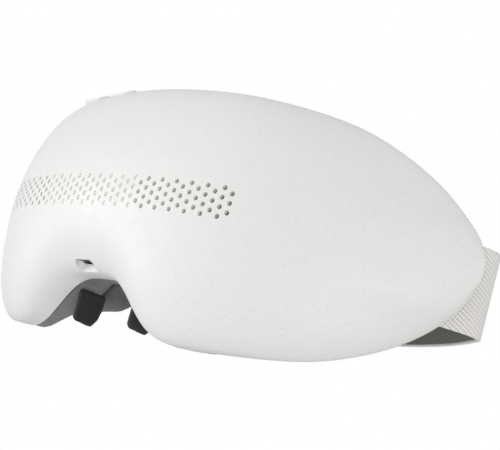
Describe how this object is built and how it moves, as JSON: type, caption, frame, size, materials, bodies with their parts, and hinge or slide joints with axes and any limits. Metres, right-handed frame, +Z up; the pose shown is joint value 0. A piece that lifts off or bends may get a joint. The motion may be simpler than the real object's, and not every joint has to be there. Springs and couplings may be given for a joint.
{
  "type": "eye massager mask",
  "caption": "Curved visor-shaped eye massager with a vented front shell, nose arch, padded face side with pressing air pads, and an elastic head strap.",
  "frame": {"origin": "middle of the bounding box, on the plane that the visor's lower rim stands on", "axes": "+Z up as worn, the front of the visor faces -Y and the face side +Y, +X is the wearer's left"},
  "size_m": [0.2038, 0.1024, 0.0745],
  "materials": {
    "shell_white": "fine matt moulded shell",
    "housing_grey": "dark grey moulded, fine texture",
    "cushion_grey": "soft dark grey coated fabric",
    "pad_fabric": "soft knitted pad cover",
    "flap_black": "matt black soft rubber",
    "film": "amber film",
    "bladder": "translucent grey film",
    "steel": "plated steel",
    "board_green": "solder mask",
    "chip_black": "moulded chip",
    "battery_wrap": "foil pouch",
    "hose_clear": "milky soft tube",
    "motor_can": "drawn can",
    "dark_plastic": "moulded nylon",
    "light_pipe": "milky clear",
    "strap_light": "warm light grey woven elastic",
    "strap_dark": "dark grey brushed lining",
    "tungsten": "sintered weight"
  },
  "bodies": {
    "root": {"front_cover": "shell_white", "inner_housing": "housing_grey", "face_cushion": "cushion_grey", "nose_flap_left": "flap_black", "nose_flap_right": "flap_black", "eye_air_bladder_left": "bladder", "eye_air_bladder_right": "bladder", "temple_air_bladder_left": "bladder", "temple_air_bladder_right": "bladder", "housing_screws": "steel", "usb_port_shell": "steel", "usb_tongue": "chip_black", "charge_board": "board_green", "main_board": "board_green", "board_components": "chip_black", "battery_pack": "battery_wrap", "pump_motor": "motor_can", "pump_head": "dark_plastic", "valve_body": "dark_plastic", "air_manifold": "dark_plastic", "air_hose_left": "hose_clear", "air_hose_right": "hose_clear", "vibration_motor_left": "motor_can", "vibration_motor_right": "motor_can", "speaker_left": "dark_plastic", "speaker_right": "dark_plastic", "button_switches": "chip_black", "button_board": "board_green", "status_light": "light_pipe", "strap_band": "strap_light", "strap_lining": "strap_dark", "strap_anchor_left": "dark_plastic", "strap_anchor_right": "dark_plastic", "strap_clamp_left": "dark_plastic", "strap_clamp_right": "dark_plastic"},
    "left_eye_pad": {"eye_pad_left": "pad_fabric", "warming_film_left": "film"},
    "right_eye_pad": {"eye_pad_right": "pad_fabric", "warming_film_right": "film"},
    "left_temple_pad": {"temple_pad_left": "pad_fabric"},
    "right_temple_pad": {"temple_pad_right": "pad_fabric"},
    "power_button": {"power_button": "shell_white"},
    "mode_button": {"mode_button": "shell_white"},
    "pump_rotor": {"pump_rotor": "steel"},
    "valve_plunger": {"valve_plunger": "steel"},
    "left_vibration_weight": {"vibration_weight_left": "tungsten"},
    "right_vibration_weight": {"vibration_weight_right": "tungsten"},
    "strap_slider": {"strap_slider": "dark_plastic"}
  },
  "joints": [
    {"name": "left_eye_pad_press", "type": "slide", "parent": "root", "child": "left_eye_pad", "axis": [-0.2044, 0.9789, 0], "range_m": [0, 0.0045], "stiffness_N_per_m": 60},
    {"name": "right_eye_pad_press", "type": "slide", "parent": "root", "child": "right_eye_pad", "axis": [0.2044, 0.9789, 0], "range_m": [0, 0.0045], "stiffness_N_per_m": 60},
    {"name": "left_temple_pad_press", "type": "slide", "parent": "root", "child": "left_temple_pad", "axis": [-0.7222, 0.6917, 0], "range_m": [0, 0.0035], "stiffness_N_per_m": 60},
    {"name": "right_temple_pad_press", "type": "slide", "parent": "root", "child": "right_temple_pad", "axis": [0.7222, 0.6917, 0], "range_m": [0, 0.0035], "stiffness_N_per_m": 60},
    {"name": "power_button_press", "type": "slide", "parent": "root", "child": "power_button", "axis": [0.0732, 0.4943, -0.8662], "range_m": [0, 0.0006], "stiffness_N_per_m": 500},
    {"name": "mode_button_press", "type": "slide", "parent": "root", "child": "mode_button", "axis": [0.0732, 0.4943, -0.8662], "range_m": [0, 0.0006], "stiffness_N_per_m": 500},
    {"name": "pump_spin", "type": "hinge", "parent": "root", "child": "pump_rotor", "pos_m": [-0.0414, -0.03361, 0.0443], "axis": [0.9458, -0.3248, 0], "continuous": true},
    {"name": "valve_stroke", "type": "slide", "parent": "root", "child": "valve_plunger", "axis": [-0.7002, 0.7139, 0], "range_m": [0, 0.0008], "stiffness_N_per_m": 100},
    {"name": "left_vibration_spin", "type": "hinge", "parent": "root", "child": "left_vibration_weight", "pos_m": [0.03052, -0.03216, 0.0148], "axis": [0.9801, 0.1987, 0], "continuous": true},
    {"name": "right_vibration_spin", "type": "hinge", "parent": "root", "child": "right_vibration_weight", "pos_m": [-0.03052, -0.03216, 0.0148], "axis": [0.9801, -0.1987, 0], "continuous": true},
    {"name": "strap_slider_slide", "type": "hinge", "parent": "root", "child": "strap_slider", "pos_m": [0, -0.1186, 0.0343], "axis": [0, 0, 1], "range_deg": [-6, 6]}
  ],
  "couplings": [
    {"joint": "right_eye_pad_press", "follows": "left_eye_pad_press", "ratio": 1},
    {"joint": "right_temple_pad_press", "follows": "left_temple_pad_press", "ratio": 1}
  ]
}
